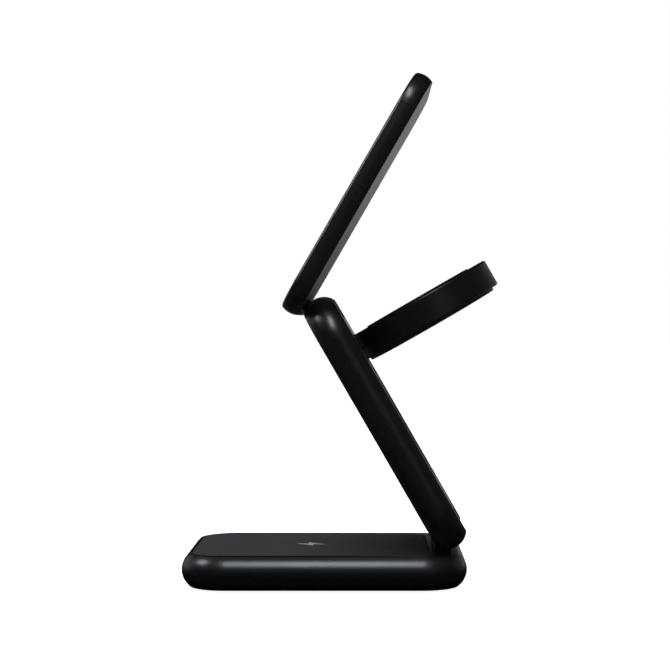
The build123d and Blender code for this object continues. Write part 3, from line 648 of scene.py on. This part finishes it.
class CHARGER_OT_back_covers(bpy.types.Operator):
    """Finish the flat covers on the backs of the arm and the panel"""

    bl_idname = "charger.back_covers"
    bl_label = "Back Covers"

    def execute(self, context):
        finish = context.scene.charger_finish
        cover = moulded_material(
            "back_cover", finish.cover_colour, roughness=0.31, specular=0.5, grain_scale=4600.0,
            grain_depth=1e-6, spread=0.03, gloss_spread=0.01, rub=0.02,
        )
        dress(cover, "arm_back_cover", "panel_back_cover")
        return {"FINISHED"}


class CHARGER_OT_pad_mark(bpy.types.Operator):
    """Print a charging bolt on the base pad"""

    bl_idname = "charger.pad_mark"
    bl_label = "Charging Mark"

    def execute(self, context):
        middle = context.scene.charger_studio.mark_place
        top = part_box("earbud_pad")[1][2]
        count = len(BOLT)
        points = []
        for level in (top - MARK_RISE * MM, top + MARK_RISE * MM):
            points += [(middle[0] + up * MM, middle[1] - right * MM, level) for right, up in BOLT]
        sides = [(i, (i + 1) % count, count + (i + 1) % count, count + i) for i in range(count)]
        mesh = bpy.data.meshes.new("charging_mark")
        under = tuple(reversed(range(count)))
        upper = tuple(range(count, 2 * count))
        mesh.from_pydata(points, [], [under, upper, *sides])
        mesh.materials.append(ink_material("mark_ink", context.scene.charger_finish.mark_colour))
        mark = bpy.data.objects.new("charging_mark", mesh)
        context.scene.collection.objects.link(mark)
        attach(mark, "base")
        return {"FINISHED"}


class CHARGER_OT_hinges(bpy.types.Operator):
    """Finish the hinge knuckles, pins, bushes and screws"""

    bl_idname = "charger.hinges"
    bl_label = "Hinges"

    def execute(self, context):
        finish = context.scene.charger_finish
        paint = moulded_material(
            "hinge_paint", finish.hinge_colour, roughness=0.36, specular=0.45, grain_scale=1800.0,
            grain_depth=3e-6, gloss_spread=0.02, rub=0.06,
        )
        dress(paint, "lower_hinge_knuckle", "upper_hinge_knuckle")
        turned = metal_material("turned_steel", (0.52, 0.52, 0.53), roughness=0.29, stretch=(0.03, 1.0, 0.03))
        dress(turned, *PINS)
        screw = metal_material("screw_steel", (0.36, 0.36, 0.37), roughness=0.3, stretch=(1.0, 1.0, 0.05))
        dress(screw, *SCREWS)
        bronze = metal_material(
            "bush_bronze_turned", (0.50, 0.32, 0.14), roughness=0.3, stretch=(0.03, 1.0, 0.03), stain=0.35,
        )
        dress(bronze, "lower_hinge_bushes", "upper_hinge_bushes")
        return {"FINISHED"}


class CHARGER_OT_coils(bpy.types.Operator):
    """Wind the charging coils and finish the shields and magnets"""

    bl_idname = "charger.coils"
    bl_label = "Coils and Magnets"

    def execute(self, context):
        copper = enamel_material("enamelled_copper", (0.62, 0.24, 0.09))
        tree = winding_tree()
        for name, body in COILS.items():
            centre, axis, inner, outer, thickness = ring_of(name)
            winding = grown_piece(name.replace("coil", "winding"), tree, {
                "Inner Radius": float(inner),
                "Outer Radius": float(outer),
                "Wire": float(thickness / COIL_LAYERS),
                "Layers": COIL_LAYERS,
                "Material": copper,
            })
            turn = axis.to_track_quat("Z", "Y").to_matrix().to_4x4()
            winding.data.transform(Matrix.Translation(centre) @ turn)
            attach(winding, body)
            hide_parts(name)
        ferrite = moulded_material(
            "ferrite_sheet", (0.016, 0.015, 0.015), roughness=0.42, specular=0.5, grain_scale=2600.0,
            grain_depth=6e-6, spread=0.3,
        )
        dress(ferrite, *FERRITES)
        nickel = metal_material("nickel_plate", (0.62, 0.60, 0.56), roughness=0.16, stretch=(1.0, 1.0, 1.0))
        dress(nickel, "phone_magnets", "puck_magnet")
        return {"FINISHED"}


class CHARGER_OT_boards(bpy.types.Operator):
    """Finish the boards, the ribbon and the weight"""

    bl_idname = "charger.boards"
    bl_label = "Boards and Weight"

    def execute(self, context):
        dress(board_material("green_board"), *BOARDS)
        dress(ribbon_material("amber_ribbon", track_pitch=0.4 * MM), "arm_flex")
        rolled = metal_material(
            "rolled_steel", (0.42, 0.43, 0.45), roughness=0.34, stretch=(0.02, 1.0, 1.0),
            line_depth=3e-6, stain=0.3,
        )
        dress(rolled, "ballast_plate")
        return {"FINISHED"}


class CHARGER_OT_inlet(bpy.types.Operator):
    """Finish the power inlet and set its contacts"""

    bl_idname = "charger.inlet"
    bl_label = "Power Inlet"

    def execute(self, context):
        drawn = metal_material(
            "inlet_shell_steel", (0.56, 0.56, 0.57), roughness=0.16, stretch=(0.03, 1.0, 1.0),
        )
        plastic = moulded_material(
            "inlet_tongue", (0.006, 0.006, 0.006), roughness=0.45, specular=0.4,
            grain_scale=5200.0, grain_depth=1e-6,
        )
        dress(drawn, "power_inlet")
        mesh = NODES["power_inlet"].data
        mesh.materials.append(plastic)
        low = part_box("power_inlet")[0]
        middle = middle_of("power_inlet")
        for face in mesh.polygons:
            away = face.center - middle
            is_deep = face.center.x - low[0] > TONGUE_ROOT * MM * 0.99
            is_narrow = abs(away.y) <= TONGUE_WIDTH / 2 * MM * 1.01
            is_thin = abs(away.z) <= TONGUE_HEIGHT / 2 * MM * 1.05
            if is_deep and is_narrow and is_thin:
                face.material_index = 1
        gold = metal_material("contact_gold", (0.86, 0.58, 0.22), roughness=0.16, stretch=(0.05, 1.0, 1.0))
        contacts = grown_piece("inlet_contacts", contact_tree(), {
            "Count": CONTACT_COUNT,
            "Pitch": CONTACT_PITCH * MM,
            "Rise": TONGUE_HEIGHT / 2 * MM,
            "Size": Vector(CONTACT_SIZE) * MM,
            "Material": gold,
        })
        tongue_middle = low[0] + (TONGUE_ROOT + TONGUE_LENGTH / 2) * MM
        contacts.data.transform(Matrix.Translation((tongue_middle, middle.y, middle.z)))
        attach(contacts, "base")
        return {"FINISHED"}


def lamp(name, bearing, height, distance, size, radiance, use):
    """Soft rectangular lamp that faces the charger, from a row of LAMPS."""
    data = bpy.data.lights.new(name, "AREA")
    data.shape = "RECTANGLE"
    data.size, data.size_y = size
    data.energy = math.pi * size[0] * size[1] * radiance
    data.color = LAMP_COLOUR
    light = bpy.data.objects.new(name, data)
    turn, tilt = math.radians(bearing), math.radians(height)
    way = Vector((math.sin(turn) * math.cos(tilt), -math.cos(turn) * math.cos(tilt), math.sin(tilt)))
    light.location = LAMP_TARGET + way * distance
    light.rotation_euler = (-way).to_track_quat("-Z", "Y").to_euler()
    light.visible_glossy = use == "glint"
    light.visible_diffuse = use == "matt"
    bpy.context.scene.collection.objects.link(light)
    return light


def white_surround():
    """World: white behind the charger, a dim room in front of it and no light from below."""
    world = bpy.data.worlds.new("white_surround")
    world.use_nodes = True
    tree = world.node_tree
    tree.nodes.clear()
    path = node_at(tree, "ShaderNodeLightPath", (-1200, 300))
    way = node_at(tree, "ShaderNodeTexCoord", (-1200, -100))
    axes = node_at(tree, "ShaderNodeSeparateXYZ", (-1000, -100))
    tree.links.new(way.outputs["Generated"], axes.inputs[0])
    seen = add_math(tree, "MAXIMUM", path.outputs["Is Camera Ray"], path.outputs["Is Transmission Ray"])

    # What the shells mirror of the backdrop is a low band, taller and brighter to the right
    behind = add_range(tree, axes.outputs["Y"], 0.5, 0.8, 0.0, BACKDROP_GLOSS)
    band_top = add_range(tree, axes.outputs["X"], -0.02, 0.12, 0.06, 0.5)
    low = add_range(tree, add_math(tree, "DIVIDE", axes.outputs["Z"], band_top), 0.0, 1.0, 1.0, 0.0)
    to_right = add_range(tree, axes.outputs["X"], -0.1, 0.05, 0.35, 1.0)
    backdrop = add_math(tree, "MULTIPLY", add_math(tree, "MULTIPLY", behind, low), to_right)
    mirrored = add_math(tree, "MULTIPLY", path.outputs["Is Glossy Ray"], backdrop)
    white_share = add_math(tree, "MAXIMUM", seen, mirrored)

    # The room's light comes from above and in front
    above = add_range(tree, axes.outputs["Z"], 0.0, 0.7, 0.0, ROOM_FILL)
    in_front = add_range(tree, axes.outputs["Y"], -0.1, 0.6, 1.0, 0.0)
    room = add_math(tree, "MULTIPLY", above, in_front)
    fill = node_at(tree, "ShaderNodeBackground", (-300, 100), Color=ROOM_COLOUR)
    tree.links.new(room, fill.inputs["Strength"])
    white = node_at(tree, "ShaderNodeBackground", (-300, -100), Color=(1.0, 1.0, 1.0, 1.0), Strength=1.0)
    choose = node_at(tree, "ShaderNodeMixShader", (0, 0))
    result = node_at(tree, "ShaderNodeOutputWorld", (200, 0))
    tree.links.new(white_share, choose.inputs[0])
    tree.links.new(fill.outputs[0], choose.inputs[1])
    tree.links.new(white.outputs[0], choose.inputs[2])
    tree.links.new(choose.outputs[0], result.inputs["Surface"])
    return world


def pale_floor_material():
    """Floor: pale and matt, white where it is looked at, with the charger's shadow on it, and with a painted
    shade, dark close to the charger, in what the charger mirrors of it.
    """
    material = bpy.data.materials.new("pale_floor")
    material.use_nodes = True
    tree = material.node_tree
    tree.nodes.clear()
    path = node_at(tree, "ShaderNodeLightPath", (-1200, -200))
    place = node_at(tree, "ShaderNodeTexCoord", (-1200, 200))
    span = node_at(tree, "ShaderNodeVectorMath", (-1000, 200))
    span.operation = "LENGTH"
    tree.links.new(place.outputs["Object"], span.inputs[0])
    seen = add_math(tree, "MAXIMUM", path.outputs["Is Camera Ray"], path.outputs["Is Transmission Ray"])
    fade = add_range(tree, span.outputs["Value"], 0.25, 1.2, FLOOR_GLOW, FLOOR_GLOW_FAR)
    glow_level = add_math(tree, "MULTIPLY", seen, fade)
    # Painted shade: as the charger mirrors it, the floor is black right next to it, dim out to about 0.4 m
    # and brighter farther away
    mirrored_near_painted_shade = add_range(tree, span.outputs["Value"], 0.05, 0.2, 0.0, FLOOR_GLOSS_IN_PAINTED_SHADE)
    mirrored_far = add_range(tree, span.outputs["Value"], 0.4, 1.5, 0.0, FLOOR_GLOSS_FAR - FLOOR_GLOSS_IN_PAINTED_SHADE)
    mirrored = add_math(tree, "ADD", mirrored_near_painted_shade, mirrored_far)
    tint = node_at(tree, "ShaderNodeMix", (-600, 200))
    tint.data_type = "RGBA"
    tint.inputs["A"].default_value = (FLOOR_ALBEDO, FLOOR_ALBEDO, FLOOR_ALBEDO, 1.0)
    tree.links.new(path.outputs["Is Glossy Ray"], tint.inputs["Factor"])
    tree.links.new(mirrored, tint.inputs["B"])
    pale = node_at(tree, "ShaderNodeBsdfDiffuse", (-300, 100))
    tree.links.new(tint.outputs["Result"], pale.inputs["Color"])
    glow = node_at(tree, "ShaderNodeEmission", (-300, -100), Color=(1.0, 1.0, 1.0, 1.0))
    both = node_at(tree, "ShaderNodeAddShader", (0, 0))
    result = node_at(tree, "ShaderNodeOutputMaterial", (200, 0))
    tree.links.new(glow_level, glow.inputs["Strength"])
    tree.links.new(pale.outputs[0], both.inputs[0])
    tree.links.new(glow.outputs[0], both.inputs[1])
    tree.links.new(both.outputs[0], result.inputs["Surface"])
    return material


class CHARGER_OT_studio(bpy.types.Operator):
    """Set the floor, the surround, the lamps and the camera"""

    bl_idname = "charger.studio"
    bl_label = "Studio"

    def execute(self, context):
        studio = context.scene.charger_studio
        scene = context.scene
        scene.view_settings.view_transform = "Standard"
        scene.world = white_surround()

        reach = 4.0
        mesh = bpy.data.meshes.new("floor")
        corners = [(-reach, -reach, 0), (reach, -reach, 0), (reach, reach, 0), (-reach, reach, 0)]
        mesh.from_pydata(corners, [], [(0, 1, 2, 3)])
        mesh.materials.append(pale_floor_material())
        floor = bpy.data.objects.new("floor", mesh)
        scene.collection.objects.link(floor)

        for row in LAMPS:
            lamp(*row)

        view = bpy.data.cameras.new("side_view")
        view.lens = studio.camera_lens
        view.shift_x, view.shift_y = studio.camera_shift
        camera = bpy.data.objects.new("side_view", view)
        camera.location = studio.camera_place
        camera.rotation_euler = Vector((0.0, 1.0, 0.0)).to_track_quat("-Z", "Y").to_euler()
        scene.collection.objects.link(camera)
        scene.camera = camera
        return {"FINISHED"}


class CHARGER_PT_sidebar(bpy.types.Panel):
    """Lists the steps that dress the charger"""

    bl_label = "Charger"
    bl_idname = "CHARGER_PT_sidebar"
    bl_space_type = "VIEW_3D"
    bl_region_type = "UI"
    bl_category = "Charger"

    def draw(self, context):
        for step in STEPS:
            self.layout.operator(step.bl_idname)


STEPS = (
    CHARGER_OT_shells,
    CHARGER_OT_puck,
    CHARGER_OT_soft_faces,
    CHARGER_OT_back_covers,
    CHARGER_OT_pad_mark,
    CHARGER_OT_hinges,
    CHARGER_OT_coils,
    CHARGER_OT_boards,
    CHARGER_OT_inlet,
    CHARGER_OT_studio,
)
CLASSES = (ChargerFinish, ChargerStudio, *STEPS, CHARGER_PT_sidebar)


def register():
    """Adds the charger's properties, steps and sidebar."""
    for cls in CLASSES:
        bpy.utils.register_class(cls)
    bpy.types.Scene.charger_finish = bpy.props.PointerProperty(type=ChargerFinish)
    bpy.types.Scene.charger_studio = bpy.props.PointerProperty(type=ChargerStudio)


def unregister():
    """Takes them away again."""
    del bpy.types.Scene.charger_studio
    del bpy.types.Scene.charger_finish
    for cls in reversed(CLASSES):
        bpy.utils.unregister_class(cls)


def main():
    """Registers the add-on and runs its steps."""
    register()
    bpy.ops.charger.shells()
    bpy.ops.charger.puck()
    bpy.ops.charger.soft_faces()
    bpy.ops.charger.back_covers()
    bpy.ops.charger.pad_mark()
    bpy.ops.charger.hinges()
    bpy.ops.charger.coils()
    bpy.ops.charger.boards()
    bpy.ops.charger.inlet()
    bpy.ops.charger.studio()


if __name__ == "__main__":
    main()
